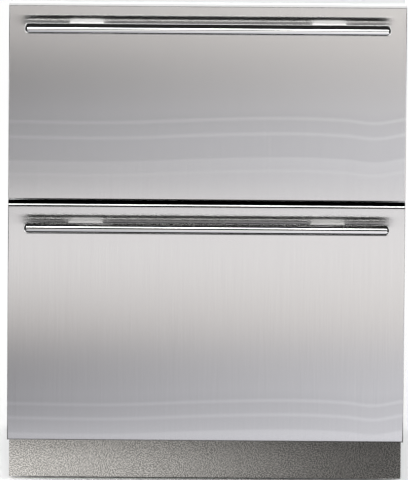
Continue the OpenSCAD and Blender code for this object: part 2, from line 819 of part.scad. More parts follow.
module compressor() {
    r = compressor_r;
    h = compressor_h;
    foot_t = 3;
    z = machine_floor_z + grommet_h;
    color("#222222") difference() {
        union() {
            translate([compressor_x, machine_mid_y, z]) {
                rotate_extrude($fn = 72) polygon(concat([[0, 1]], [[r - 26, 1]], arc(r - 22, 24, 22, -60, 0),
                    [[r, 76], [r + 3, 76], [r + 3, 80], [r, 80]], arc(r - 40, h - 40, 40, 0, 80), [[0, h]]));
                linear_extrude(foot_t) polygon(rounded_outline(2 * grommet_step + 26, 2 * grommet_step + 26, 12));
                translate([0, 0, discharge_z - z]) rod_y(line_d + 2, -r - 8, -r + 20);
                translate([-r + 6, evap_y + evap_pitch / 2 - machine_mid_y, suction_z - z]) rod_x(line_d + 3, 30);
            }
        }
        at_grommets() cylinder(d = 8, h = 40, $fn = 32);
    }
}

module compressor_grommets() {
    color("black") at_grommets() difference() {
        union() {
            cylinder(d = 22, h = grommet_h, $fn = 40);
            translate([0, 0, grommet_h - 1]) cylinder(d = 7.4, h = 6, $fn = 32);
        }
        translate([0, 0, -1]) cylinder(d = 4, h = 40, $fn = 32);
    }
}

// Round line through axis-aligned points, with a ball at each inner corner
module line(points, d) {
    for (i = [0:len(points) - 2]) {
        a = points[i];
        v = points[i + 1] - a;
        l = norm(v);
        translate(a) rotate([0, acos(v[2] / l), atan2(v[1], v[0])]) cylinder(d = d, h = l, $fn = 24);
    }
    for (i = [1:len(points) - 2]) translate(points[i]) sphere(d = d + 0.4, $fn = 24);
}

module line_holes() {
    for (p = [[capillary_x, evap_y - evap_pitch / 2], [suction_x, evap_y + evap_pitch / 2]])
        translate([p[0], p[1], machine_top_z - 10]) cylinder(d = line_d + 2 * slide_gap, h = foam_t + 20, $fn = 32);
}

module refrigerant_lines() {
    hot_x = condenser_x + cond_pitch / 2;
    cool_x = condenser_x - cond_pitch / 2;
    feed_y = evap_y - evap_pitch / 2;
    return_y = evap_y + evap_pitch / 2;
    turn_x = compressor_x - compressor_r - 19;
    color("peru") {
        line([[compressor_x, machine_mid_y - compressor_r - 8, discharge_z], [compressor_x, pipe_y, discharge_z],
            [hot_x, pipe_y, discharge_z], [hot_x, pipe_y, cond_out_z], [hot_x, cond_end_y, cond_out_z]], line_d);
        line([[cool_x, cond_end_y, cond_out_z], [cool_x, pipe_y, cond_out_z],
            [drier_x + drier_l, pipe_y, cond_out_z]], line_d);
        line([[drier_x, pipe_y, cond_out_z], [capillary_x, pipe_y, cond_out_z], [capillary_x, pipe_y, over_z],
            [capillary_x, feed_y, over_z], [capillary_x, feed_y, evap_tube_z],
            [evap_end_x, feed_y, evap_tube_z]], line_d);
        line([[evap_end_x, return_y, evap_tube_z], [suction_x, return_y, evap_tube_z],
            [suction_x, return_y, over_z], [turn_x, return_y, over_z], [turn_x, return_y, suction_z],
            [compressor_x - compressor_r - 9, return_y, suction_z]], line_d);
    }
}

module filter_drier() {
    neck_r = 5;
    taper = 12;
    color("peru") translate([drier_x, pipe_y, cond_out_z]) rotate([0, 90, 0]) rotate_extrude($fn = 40)
        polygon([[0, 0], [neck_r, 0], [drier_d / 2, taper], [drier_d / 2, drier_l - taper],
            [neck_r, drier_l], [0, drier_l]]);
}

module evaporation_tray() {
    size = tray_size;
    wall = 2;
    color("black") translate([compressor_x, machine_mid_y + 5, tray_z]) difference() {
        linear_extrude(size[2]) polygon(rounded_outline(size[0], size[1], 12));
        translate([0, 0, wall])
            linear_extrude(size[2]) polygon(rounded_outline(size[0] - 2 * wall, size[1] - 2 * wall, 12 - wall));
    }
}

module control_box() {
    size = control_box_size;
    lid = 6;
    color("lightgray") translate([control_box_x, control_box_y, machine_floor_z]) {
        linear_extrude(size[2] - lid) polygon(rounded_outline(size[0], size[1], 5));
        translate([0, 0, size[2] - lid]) linear_extrude(lid) polygon(rounded_outline(size[0] + 4, size[1] + 4, 7));
    }
}

module inlet_hole() {
    translate([inlet_x, 0, inlet_z]) along_y(back_y - 10, back_y + 10)
        polygon(rounded_outline(inlet_size[0] + 2 * slide_gap, inlet_size[1] + 2 * slide_gap, 4 + slide_gap));
}

module mains_inlet() {
    wall = 3;
    recess = 18;
    color("#222222") translate([inlet_x, 0, inlet_z]) {
        difference() {
            union() {
                along_y(back_y - inlet_depth, back_y) polygon(rounded_outline(inlet_size[0], inlet_size[1], 4));
                along_y(back_y - sheet_t - 3, back_y - sheet_t)
                    polygon(rounded_outline(inlet_size[0] + 18, inlet_size[1] + 8, 4));
            }
            along_y(back_y - recess, back_y + 5)
                polygon(rounded_outline(inlet_size[0] - 2 * wall, inlet_size[1] - 2 * wall, 2));
        }
        for (p = [[-7, -2], [0, 2], [7, -2]]) translate([p[0], back_y - recess + 5, p[1]])
            cube([2, 12, 4], center = true);
    }
}

// Control panel and its buttons

module button_hole(i) {
    translate([i * button_step, 0, cavity_top_z - panel_h / 2])
        rod_y(button_d + 2 * slide_gap, panel_y - 5, panel_y - button_stand + button_h + button_travel + 0.5);
}

module control_panel() {
    color("whitesmoke") difference() {
        translate([0, 0, cavity_top_z - panel_h / 2]) along_y(panel_y, panel_y + panel_depth)
            polygon(concat([[panel_w / 2, panel_h / 2], [-panel_w / 2, panel_h / 2]],
                arc(6 - panel_w / 2, 6 - panel_h / 2, 6, 180, 270), arc(panel_w / 2 - 6, 6 - panel_h / 2, 6, 270, 360)));
        for (i = [-1:1]) button_hole(i);
    }
}

module button(i) {
    color("lightgray") translate([i * button_step, panel_y - button_stand, cavity_top_z - panel_h / 2])
        rotate([-90, 0, 0]) rotate_extrude($fn = 40) polygon(concat([[0, 0]],
            arc(button_d / 2 - 1.5, 1.5, 1.5, -90, 0), [[button_d / 2, button_h], [0, button_h]]));
}

module power_button() { button(-1); }

module colder_button() { button(0); }

module warmer_button() { button(1); }

left_side_panel();
right_side_panel();
top_panel();
back_panel();
compartment_cover();
base_pan();
compartment_bulkhead();
inner_liner();
insulation_foam();
front_frame();
counter_brackets();
kickplate();
kickplate_clips();
leg_sockets();
fixed_rails();
evaporator_cover();
evaporator_coil();
defrost_heater();
drain_trough();
evaporator_fan_motor();
compressor();
compressor_grommets();
condenser_coil();
fan_shroud();
condenser_fan_motor();
filter_drier();
refrigerant_lines();
evaporation_tray();
control_box();
mains_inlet();
control_panel();
evaporator_fan_blade();
condenser_fan_blade();
power_button();
colder_button();
warmer_button();
front_left_leg();
front_right_leg();
rear_left_leg();
rear_right_leg();
upper_middle_rails();
lower_middle_rails();
upper_front_skin();
upper_door_core();
upper_door_shell();
upper_gasket();
upper_handle_bar();
upper_handle_posts();
upper_handle_screws();
upper_bin();
upper_drawer_rails();
lower_front_skin();
lower_door_core();
lower_door_shell();
lower_gasket();
lower_handle_bar();
lower_handle_posts();
lower_handle_screws();
lower_bin();
lower_drawer_rails();
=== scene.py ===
import bpy
import math
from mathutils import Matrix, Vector


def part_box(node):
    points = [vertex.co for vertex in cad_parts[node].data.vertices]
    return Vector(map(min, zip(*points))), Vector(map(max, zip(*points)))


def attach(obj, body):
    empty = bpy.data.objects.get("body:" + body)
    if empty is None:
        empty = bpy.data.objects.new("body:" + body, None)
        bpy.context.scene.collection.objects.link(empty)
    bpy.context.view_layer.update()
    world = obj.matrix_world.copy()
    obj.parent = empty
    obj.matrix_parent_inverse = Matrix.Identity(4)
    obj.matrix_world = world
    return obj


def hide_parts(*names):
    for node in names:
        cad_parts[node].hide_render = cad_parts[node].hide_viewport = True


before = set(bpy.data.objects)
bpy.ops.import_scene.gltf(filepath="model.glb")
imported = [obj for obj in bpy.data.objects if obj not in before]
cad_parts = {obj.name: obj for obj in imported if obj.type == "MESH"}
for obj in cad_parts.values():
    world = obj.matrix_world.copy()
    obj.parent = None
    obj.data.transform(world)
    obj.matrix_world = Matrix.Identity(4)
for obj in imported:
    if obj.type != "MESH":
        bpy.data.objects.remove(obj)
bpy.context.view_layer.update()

# Camera of the product photo: a long lens, square to the fronts and ten degrees above them, so that
# next to nothing converges. It is rolled by less than half a degree, as the photo is.
front_low, front_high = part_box("upper_front_skin")
photo_rows = 480
front_across_pixels = 397.1
photo_tall = photo_rows * (front_high.x - front_low.x) / front_across_pixels
camera_away = 30
camera_side = -0.0042
aim_height = 0.4384
look_down = math.radians(10)
camera_roll = math.radians(0.43)
film_width = 36
bpy.context.scene.view_settings.view_transform = "Standard"
bpy.ops.object.camera_add(
    location=(camera_side, front_low.y - camera_away * math.cos(look_down),
              aim_height + camera_away * math.sin(look_down)),
    rotation=(math.radians(90) - look_down, 0, 0))
photo_camera = bpy.context.object
photo_camera.name = "photo_camera"
photo_camera.data.sensor_width = film_width
photo_camera.data.lens = film_width * camera_away / photo_tall
photo_camera.data.clip_end = 200
photo_camera.rotation_euler.rotate_axis("Z", camera_roll)
bpy.context.scene.camera = photo_camera

# Studio floor: a wide sheet of matt white board that the freezer stands on. The floor, the room, the
# cards and the lamps belong to the photo studio, and not to the freezer.
floor_size = 16
floor_white = (0.97, 0.97, 0.97, 1)


def flat_board(name, middle, long, wide, turn=(0, 0, 0)):
    bpy.ops.object.select_all(action="DESELECT")
    bpy.ops.mesh.primitive_plane_add(
        size=1, location=middle, rotation=[math.radians(angle) for angle in turn])
    board = bpy.context.object
    board.name = name
    board.scale = (long, wide, 1)
    bpy.ops.object.transform_apply(location=True, rotation=True, scale=True)
    return board


def feed(node, sockets):
    for name, value in sockets.items():
        if isinstance(value, bpy.types.NodeSocket):
            node.id_data.links.new(value, node.inputs[name])
        else:
            node.inputs[name].default_value = value
    return node


def new_finish(name):
    finish = bpy.data.materials.new(name)
    finish.use_nodes = True
    return finish, finish.node_tree, finish.node_tree.nodes["Principled BSDF"]


studio_floor = flat_board("studio_floor", (0, 0, 0), floor_size, floor_size)
floor_board, _, board_shader = new_finish("floor_board")
feed(board_shader, {"Base Color": floor_white, "Roughness": 0.9})
studio_floor.data.materials.append(floor_board)

# Studio room: even white walls and ceiling, as diffuse surfaces see it. What the metal mirrors turns
# dark overhead and in front, as under black flags, and stays bright behind the freezer. Each pair is a
# height, from 0 straight down to 1 straight up, and its grey.
room_ahead = ((0, 0.8), (0.44, 0.8), (0.47, 0.05), (0.56, 0.03), (0.70, 0.02), (1, 0.02))
room_behind = ((0, 0.9), (0.72, 1.1), (0.80, 0.02), (1, 0.02))


def add_node(tree, kind, sockets=None, **settings):
    node = tree.nodes.new("ShaderNode" + kind)
    for name, value in settings.items():
        setattr(node, name, value)
    return feed(node, sockets or {})


def tone_ramp(tree, factor, stops, blend="LINEAR"):
    ramp = add_node(tree, "ValToRGB", {0: factor})
    ramp.color_ramp.interpolation = blend
    marks = ramp.color_ramp.elements
    marks.remove(marks[1])
    for count, (place, tone) in enumerate(stops):
        mark = marks.new(place) if count else marks[0]
        mark.position = place
        mark.color = (*tone, 1) if isinstance(tone, tuple) else (tone, tone, tone, 1)
    return ramp.outputs[0]


studio_room = bpy.data.worlds.new("studio_room")
bpy.context.scene.world = studio_room
studio_room.use_nodes = True
room = studio_room.node_tree
ray_way = add_node(room, "SeparateXYZ", {"Vector": add_node(room, "TexCoord").outputs["Generated"]})
ray_height = add_node(room, "MapRange", {"Value": ray_way.outputs["Z"], "From Min": -1, "From Max": 1})
ray_back = add_node(
    room, "MapRange", {"Value": ray_way.outputs["Y"], "From Max": 0.2}, interpolation_type="SMOOTHSTEP")
room_turn = add_node(room, "Mix", {
    "Factor": ray_back.outputs[0],
    "A": tone_ramp(room, ray_height.outputs[0], room_ahead),
    "B": tone_ramp(room, ray_height.outputs[0], room_behind)}, data_type="RGBA")
room_light = feed(room.nodes["Background"], {"Color": (1, 1, 1, 1), "Strength": 1.05})
mirrored_room = add_node(room, "Background", {"Color": room_turn.outputs["Result"]})
room_mix = add_node(room, "MixShader", {
    0: add_node(room, "LightPath").outputs["Is Glossy Ray"],
    1: room_light.outputs[0],
    2: mirrored_room.outputs[0]})
feed(room.nodes["World Output"], {0: room_mix.outputs[0]})

# Reflector card of the studio: a board lying on the floor ahead of the fronts, which only the metal
# mirrors. It is sprayed in soft bands, and the fronts mirror its far end highest. Each band is its
# metres ahead of the fronts, its greys on the left and on the right, and its tint.
card_near = 0.4
card_far = 5.7
card_length = card_far - card_near
card_width = 3.6
tone_side = 0.31
cool = (0.98, 0.98, 1.04)
even = (1.01, 0.99, 1.0)
warm = (1.04, 0.99, 0.96)
card_bands = (
    (0.45, 0.60, 0.78, cool), (0.60, 0.38, 0.60, cool), (1.2, 0.25, 0.50, cool), (1.6, 0.52, 0.66, warm),
    (2.2, 0.74, 0.78, even), (2.9, 0.84, 0.83, even), (3.05, 0.05, 0.42, cool), (3.3, 0.46, 0.70, cool),
    (3.8, 0.38, 0.56, cool), (4.1, 0.12, 0.45, even), (4.55, 0.10, 0.45, warm), (4.8, 0.62, 0.70, warm),
    (5.2, 0.60, 0.85, warm))


def object_place(tree):
    return add_node(tree, "TexCoord").outputs["Object"]


def place_parts(tree, place):
    return add_node(tree, "SeparateXYZ", {"Vector": place}).outputs


def make_glow(tree, sockets):
    tree.nodes.remove(tree.nodes["Principled BSDF"])
    feed(tree.nodes["Material Output"], {0: add_node(tree, "Emission", sockets).outputs[0]})


def mirrored_only(board):
    board.visible_camera = False
    board.visible_diffuse = False
    board.visible_shadow = False
    board.visible_transmission = False


lying_card = flat_board(
    "lying_card", (0, front_low.y - (card_near + card_far) / 2, 0.002), card_width, card_length)
card_glow, card_tree, _ = new_finish("card_glow")
card_parts = place_parts(card_tree, object_place(card_tree))
card_along = add_node(card_tree, "MapRange", {
    "Value": card_parts["Y"], "From Min": front_low.y - card_near, "From Max": front_low.y - card_far})
card_across = add_node(
    card_tree, "MapRange", {"Value": card_parts["X"], "From Min": -tone_side, "From Max": tone_side},
    clamp=False)
card_sides = []
for side in ("left", "right"):
    stops = []
    for ahead, left_grey, right_grey, tint in card_bands:
        grey = left_grey if side == "left" else right_grey
        stops.append(((ahead - card_near) / card_length, tuple(grey * share for share in tint)))
    card_sides.append(tone_ramp(card_tree, card_along.outputs[0], stops, "B_SPLINE"))
card_blend = add_node(
    card_tree, "Mix", {"Factor": card_across.outputs[0], "A": card_sides[0], "B": card_sides[1]},
    data_type="RGBA", clamp_factor=False)
make_glow(card_tree, {"Color": card_blend.outputs["Result"], "Strength": 1.66})
lying_card.data.materials.append(card_glow)
mirrored_only(lying_card)

# Card bent to an L under the fronts, which the kickplate mirrors: bright on the left, dark on the right
# and towards its top.
kick_card_wide = 2.4
kick_card_tall = 0.08
kick_card_deep = 0.095
kick_card_foot = 0.001


def pick_parts(piece, edges=None, faces=None):
    mesh = piece.data
    for part in list(mesh.vertices) + list(mesh.edges) + list(mesh.polygons):
        part.select = False
    corners = mesh.vertices
    bpy.context.tool_settings.mesh_select_mode = (False, edges is not None, faces is not None)
    for face in mesh.polygons:
        face.select = faces is not None and faces(face)
        for key in face.vertices if face.select else ():
            corners[key].select = True
    for edge in mesh.edges:
        ends = [corners[key] for key in edge.vertices]
        if edges is not None and edges(ends[0].co, ends[1].co):
            edge.select = ends[0].select = ends[1].select = True


def shape(operator, **values):
    bpy.ops.object.mode_set(mode="EDIT")
    operator(**values)
    bpy.ops.object.mode_set(mode="OBJECT")


def pull(way):
    shape(bpy.ops.mesh.extrude_region_move, TRANSFORM_OT_translate={"value": way, "orient_type": "GLOBAL"})


kick_card = flat_board(
    "kick_card", (0, front_low.y - 0.01, kick_card_foot + kick_card_tall / 2), kick_card_wide,
    kick_card_tall, turn=(90, 0, 0))
pick_parts(kick_card, edges=lambda a, b: max(a.z, b.z) < kick_card_tall / 2)
pull((0, kick_card_deep, 0))
kick_tones, kick_tree, _ = new_finish("kick_tones")
kick_parts = place_parts(kick_tree, object_place(kick_tree))
kick_falls = []
for way, bright_at, dark_at, bright, dark in (
        ("X", -0.50, 0.36, 0.86, 0.10), ("Z", 0.022, 0.050, 1.0, 0.475)):
    kick_falls.append(add_node(kick_tree, "MapRange", {
        "Value": kick_parts[way], "From Min": bright_at, "From Max": dark_at,
        "To Min": bright, "To Max": dark}, interpolation_type="SMOOTHSTEP"))
kick_both = add_node(
    kick_tree, "Math", {0: kick_falls[0].outputs[0], 1: kick_falls[1].outputs[0]}, operation="MULTIPLY")
make_glow(kick_tree, {"Strength": kick_both.outputs[0]})
kick_card.data.materials.append(kick_tones)
mirrored_only(kick_card)

# Black flags of the set: one stands at each side, so that the ends of the bars mirror a dark outline, and
# one lies on the floor just ahead of the fronts, which the undersides of the bars mirror.
flag_black, _, flag_shader = new_finish("flag_black")
feed(flag_shader, {"Base Color": (0.01, 0.01, 0.01, 1), "Roughness": 0.9})
for name, middle, turned, long, wide in (
        ("left_flag", (-1.25, -0.6, 0.75), 90, 1.5, 1.4),
        ("right_flag", (1.25, -0.6, 0.75), 90, 1.5, 1.4),
        ("floor_flag", (0, front_low.y - 0.235, 0.0012), 0, 2.4, 0.41)):
    flag = flat_board(name, middle, long, wide, turn=(0, turned, 0))
    flag.data.materials.append(flag_black)
    mirrored_only(flag)

# Studio lamps: a long narrow box near and above the fronts, which gives the polished bars their line of
# light, and a square box low on the left, which lights the kickplate from that side.
bar_lamp_wide = 4.5
bar_lamp_tall = 0.24
side_lamp_size = 0.6


def studio_lamp(name, place, aim, width, tall, power):
    bpy.ops.object.light_add(type="AREA", location=place)
    lamp = bpy.context.object
    lamp.name = name
    lamp.data.shape = "RECTANGLE"
    lamp.data.size = width
    lamp.data.size_y = tall
    lamp.data.energy = power
    lamp.rotation_euler = (Vector(aim) - Vector(place)).to_track_quat("-Z", "Y").to_euler()
    return lamp


studio_lamp("bar_lamp", (0, -1.22, 1.14), (0, -0.3, 0.6), bar_lamp_wide, bar_lamp_tall, 20)
side_lamp = studio_lamp("side_lamp", (-1.6, -1.5, 0.5), (0, -0.2, 0.1), side_lamp_size, side_lamp_size, 12)
side_lamp.visible_glossy = False

# Drawer fronts: brushed stainless sheet, folded round the edges into a shallow pan, with upright grain.
# The light smears across the grain, so the sheet mirrors in soft level bands. Its returns beside the
# seam are painted near-black, as painted shade in the gap between the two fronts.
sheet_thickness = 0.001
fold_radius = 0.0009
near = 0.001
touching = 0.0001
# Near-black of the painted shade on the returns beside the seam.
seam_shade_grey = (0.05, 0.05, 0.05, 1)
seam_height = (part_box("lower_front_skin")[1].z + front_low.z) / 2
seam_reach = 0.013

# Painted waves, painted into the colour of the flat sheet: heights above its foot where a band of
# painted shade begins and where lines of painted highlight lie, and how light each is beside the plain
# sheet. They swell up and down across the front.
painted_shade_from = {"upper": 0.064, "lower": 0.010}
painted_highlight_heights = {"upper": (0.038, 0.103, 0.130), "lower": (0.034, 0.059)}
painted_shade_edge = 0.004
painted_highlight_half = 0.005
painted_highlight_fade = 0.020
painted_rim_highlight = 0.98
painted_shade_tone = 0.89
plain_sheet_tone = 0.95
faint_painted_highlight = (0.95, 0.99)
clear_painted_highlight = (0.91, 1.02)
painted_wave_reach = 0.2
painted_wave_swell = 0.018
painted_swell_across = ((0, 0.3), (0.25, 0.1), (0.45, 0.5), (0.7, 0.85), (0.86, 0.6), (0.93, 0.1), (1, 0.9))


# Stops of the painted waves: a band of painted shade with a painted highlight above it, then lines of
# painted highlight, fading to the plain sheet.
def painted_wave_stops(shade_start, highlight_heights):
    stops = [(shade_start - painted_shade_edge, painted_rim_highlight), (shade_start, painted_shade_tone), (shade_start + painted_highlight_half, painted_shade_tone)]
    for highlight_height in highlight_heights:
        flank, peak = faint_painted_highlight if highlight_height < shade_start else clear_painted_highlight
        stops += [(highlight_height - painted_highlight_half, flank), (highlight_height, peak), (highlight_height + painted_highlight_half, flank)]
    return sorted(stops) + [(highlight_heights[-1] + painted_highlight_fade, plain_sheet_tone)]


def brushed_steel(name, sheet_foot, stops):
    metal, tree, shader = new_finish(name)
    place = object_place(tree)
    parts = place_parts(tree, place)
    stretch = add_node(tree, "Mapping", {"Vector": place, "Scale": (1400, 1400, 9)})
    grain = add_node(tree, "TexNoise", {"Vector": stretch.outputs[0], "Scale": 1, "Detail": 3}).outputs[0]
    grain_tone = tone_ramp(tree, grain, ((0, (0.565, 0.562, 0.558)), (1, (0.655, 0.651, 0.647))))
    grain_gloss = add_node(tree, "MapRange", {"Value": grain, "To Min": 0.175, "To Max": 0.195})
    grain_way = add_node(tree, "CombineXYZ", {"X": 1})

    across = add_node(tree, "MapRange", {
        "Value": parts["X"], "From Min": front_low.x, "From Max": front_high.x})
    painted_swell = tone_ramp(tree, across.outputs[0], painted_swell_across, "B_SPLINE")
    shifted_height = add_node(tree, "Math", {0: painted_swell, 1: -painted_wave_swell, 2: parts["Z"]}, operation="MULTIPLY_ADD")
    sheet_height = add_node(tree, "MapRange", {
        "Value": shifted_height.outputs[0], "From Min": sheet_foot, "From Max": sheet_foot + painted_wave_reach})
    painted_waves = tone_ramp(tree, sheet_height.outputs[0], [(rise / painted_wave_reach, tone) for rise, tone in stops])
    # The painted waves multiply the grain's tone, so the painted highlights and painted shade sit in the
    # base colour.
    grain_and_painted_waves = add_node(
        tree, "Mix", {"Factor": 1, "A": grain_tone, "B": painted_waves}, data_type="RGBA", blend_type="MULTIPLY")

    # Faces turned up or down within reach of the seam are painted near-black: painted shade in the gap
    # between the fronts.
    facing = place_parts(tree, add_node(tree, "NewGeometry").outputs["Normal"])
    turned = add_node(tree, "Math", {0: facing["Z"]}, operation="ABSOLUTE")
    turned_in = add_node(
        tree, "MapRange", {"Value": turned.outputs[0], "From Min": 0.40, "From Max": 0.52},
        interpolation_type="SMOOTHSTEP")
    by_seam = add_node(tree, "Math", {0: parts["Z"], 1: seam_height, 2: seam_reach}, operation="COMPARE")
    seam_shade_mask = add_node(
        tree, "Math", {0: turned_in.outputs[0], 1: by_seam.outputs[0]}, operation="MULTIPLY")
    seam_shade_mix = add_node(tree, "Mix", {
        "Factor": seam_shade_mask.outputs[0], "A": grain_and_painted_waves.outputs["Result"], "B": seam_shade_grey}, data_type="RGBA")
    feed(shader, {
        "Metallic": 1, "Anisotropic": 1, "Tangent": grain_way.outputs[0],
        "Roughness": grain_gloss.outputs[0], "Base Color": seam_shade_mix.outputs["Result"]})
    return metal


def dress(finish, *pieces):
    for piece in pieces:
        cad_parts[piece].data.materials.clear()
        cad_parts[piece].data.materials.append(finish)


for level, top_radius in (("upper", 0), ("lower", 0.010)):
    skin_low, skin_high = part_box(level + "_front_skin")
    bpy.ops.object.select_all(action="DESELECT")
    bpy.ops.mesh.primitive_cube_add(
        size=1, location=(skin_low + skin_high) / 2, scale=skin_high - skin_low)
    skin = bpy.context.object
    skin.name = level + "_steel_front"
    bpy.ops.object.transform_apply(location=True, rotation=True, scale=True)
    if top_radius:
        pick_parts(skin, edges=lambda a, b: min(a.z, b.z) > skin_high.z - near
                   and max(a.y, b.y) < skin_low.y + near)
        shape(bpy.ops.mesh.bevel, offset=top_radius, segments=10, affect="EDGES")
    pick_parts(skin, edges=lambda a, b: max(a.y, b.y) < skin_low.y + top_radius + touching and (
        max(a.z, b.z) < skin_low.z + near or (abs(a.x - b.x) < near and abs(a.x) > skin_high.x - near)
        or (not top_radius and min(a.z, b.z) > skin_high.z - near)))
    shape(bpy.ops.mesh.bevel, offset=fold_radius, segments=5, affect="EDGES")
    pick_parts(skin, faces=lambda face: face.area > 0.004)
    shape(bpy.ops.mesh.inset, thickness=sheet_thickness, use_individual=True)
    pick_parts(skin, faces=lambda face: face.area > 0.004 and face.normal.y > 0.5)
    pull((0, skin_low.y - skin_high.y + sheet_thickness, 0))
    if top_radius:
        pick_parts(skin, edges=lambda a, b: abs(a.z - b.z) < touching and abs(a.y - b.y) < touching
                   and abs(a.z - skin_high.z + sheet_thickness) < touching
                   and abs(a.y - skin_low.y - sheet_thickness) < touching)
        shape(bpy.ops.mesh.bevel, offset=top_radius - sheet_thickness, segments=10, affect="EDGES")
    bpy.ops.object.shade_smooth_by_angle(angle=math.radians(30))
    painted_waves = painted_wave_stops(painted_shade_from[level], painted_highlight_heights[level])
    front_steel = brushed_steel(level + "_front_steel", skin_low.z, painted_waves)
    skin.data.materials.append(front_steel)
    dress(front_steel, level + "_front_skin")
    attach(skin, level + "_drawer")
    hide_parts(level + "_front_skin")

# Handle bars: solid round bar in polished stainless steel, its ends turned to a soft round, screwed on
# through two flat posts.
end_round = 0.8


def metal_finish(name, dark, light, stretch, gloss, depth, metallic=1):
    metal, tree, shader = new_finish(name)
    spread = add_node(tree, "Mapping", {"Vector": object_place(tree), "Scale": stretch})
    grain = add_node(tree, "TexNoise", {"Vector": spread.outputs[0], "Scale": 1, "Detail": 3}).outputs[0]
    sheen = add_node(tree, "MapRange", {"Value": grain, "To Min": gloss[0], "To Max": gloss[1]})
    relief = add_node(tree, "Bump", {"Height": grain, "Distance": depth, "Strength": 0.5})
    feed(shader, {
        "Metallic": metallic, "Base Color": tone_ramp(tree, grain, ((0.3, dark), (0.7, light))),
        "Roughness": sheen.outputs[0], "Normal": relief.outputs[0]})
    return metal


polished_steel = metal_finish(
    "polished_steel", (0.745, 0.745, 0.735), (0.775, 0.775, 0.765), (30, 1100, 1100), (0.07, 0.09),
    0.000001)
for level in ("upper", "lower"):
    bar_low, bar_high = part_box(level + "_handle_bar")
    bar_r = (bar_high.z - bar_low.z) / 2
    bpy.ops.object.select_all(action="DESELECT")
    bpy.ops.mesh.primitive_cylinder_add(
        vertices=96, radius=bar_r, depth=bar_high.x - bar_low.x,
        location=(bar_low + bar_high) / 2, rotation=(0, math.radians(90), 0))
    bar = bpy.context.object
    bar.name = level + "_polished_bar"
    bpy.ops.object.transform_apply(location=True, rotation=True, scale=True)
    pick_parts(bar, edges=lambda a, b: abs(a.x - b.x) < near)
    shape(bpy.ops.mesh.bevel, offset=bar_r * end_round, segments=8, affect="EDGES")
    bpy.ops.object.shade_smooth_by_angle(angle=math.radians(30))
    bar.data.materials.append(polished_steel)
    dress(polished_steel, level + "_handle_bar")
    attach(bar, level + "_drawer")
    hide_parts(level + "_handle_bar")

# Handle posts: flat tabs of satin stainless steel between the front and the bar, ground with a fine
# grain and held by screws from inside the drawer front.
satin_steel = metal_finish(
    "satin_steel", (0.70, 0.69, 0.68), (0.84, 0.83, 0.82), (90, 1800, 1800), (0.38, 0.48), 0.00005,
    metallic=0.55)
dress(satin_steel, "upper_handle_posts", "lower_handle_posts")

# Kickplate: a folded strip of stainless steel with a fine pebbled finish, clipped to the base pan and
# set back under the fronts.
pebbled_steel, pebble_tree, pebble_shader = new_finish("pebbled_steel")
pebbles = add_node(pebble_tree, "TexNoise", {
    "Vector": object_place(pebble_tree), "Scale": 560, "Detail": 1}).outputs[0]
pebble_relief = add_node(pebble_tree, "Bump", {"Height": pebbles, "Strength": 0.35, "Distance": 0.001})
pebble_tones = ((0.39, (0.30, 0.288, 0.267)), (0.60, (1.0, 0.965, 0.92)))
feed(pebble_shader, {
    "Metallic": 1, "Roughness": 0.3, "Normal": pebble_relief.outputs[0],
    "Base Color": tone_ramp(pebble_tree, pebbles, pebble_tones)})
dress(pebbled_steel, "kickplate")

# Handle screws, kickplate clips and the threaded sockets of the legs: pressed and turned steel, plated
# with zinc that is a little cloudy.
zinc_plate = metal_finish(
    "zinc_plate", (0.50, 0.51, 0.52), (0.72, 0.73, 0.73), (260, 260, 260), (0.25, 0.42), 0.00002)
dress(zinc_plate, "upper_handle_screws", "lower_handle_screws", "kickplate_clips", "leg_sockets")

# Levelling legs: studs of the same plated steel on a round foot, screwed up into the sockets. The
# thread is rolled, and shows as fine rings.
thread_pitch = 0.002
leg_steel = metal_finish(
    "leg_steel", (0.50, 0.51, 0.52), (0.70, 0.71, 0.71), (260, 260, 260), (0.25, 0.4), 0.00002)
leg_tree = leg_steel.node_tree
thread = add_node(
    leg_tree, "TexWave", {"Vector": object_place(leg_tree), "Scale": math.pi / (10 * thread_pitch)},
    bands_direction="Z", wave_profile="TRI")
thread_cut = add_node(leg_tree, "Bump", {"Height": thread.outputs["Fac"], "Distance": 0.0008})
feed(leg_tree.nodes["Principled BSDF"], {"Normal": thread_cut.outputs[0]})
dress(leg_steel, "front_left_leg", "front_right_leg", "rear_left_leg", "rear_right_leg")

# Case sides and top: thin steel sheet with baked grey enamel, faintly dimpled like the skin of an
# orange, fixed to the base pan and the back.
enamel_dimple = 0.0022


def moulded_finish(name, dark, light, grain_size, gloss, depth, coat=0):
    skin, tree, shader = new_finish(name)
    place = object_place(tree)
    grain = add_node(tree, "TexNoise", {"Vector": place, "Scale": 1 / grain_size, "Detail": 2})
    drift = add_node(tree, "TexNoise", {"Vector": place, "Scale": 9, "Detail": 3}).outputs[0]
    sheen = add_node(tree, "MapRange", {"Value": drift, "To Min": gloss[0], "To Max": gloss[1]})
    relief = add_node(tree, "Bump", {"Height": grain.outputs[0], "Distance": depth, "Strength": 0.4})
    feed(shader, {
        "Base Color": tone_ramp(tree, drift, ((0.35, dark), (0.65, light))),
        "Roughness": sheen.outputs[0], "Normal": relief.outputs[0],
        "Coat Weight": coat, "Coat Roughness": 0.12})
    return skin


grey_enamel = moulded_finish(
    "grey_enamel", (0.60, 0.61, 0.61), (0.64, 0.65, 0.65), enamel_dimple, (0.28, 0.36), 0.0001, 0.3)
dress(grey_enamel, "left_side_panel", "right_side_panel", "top_panel")

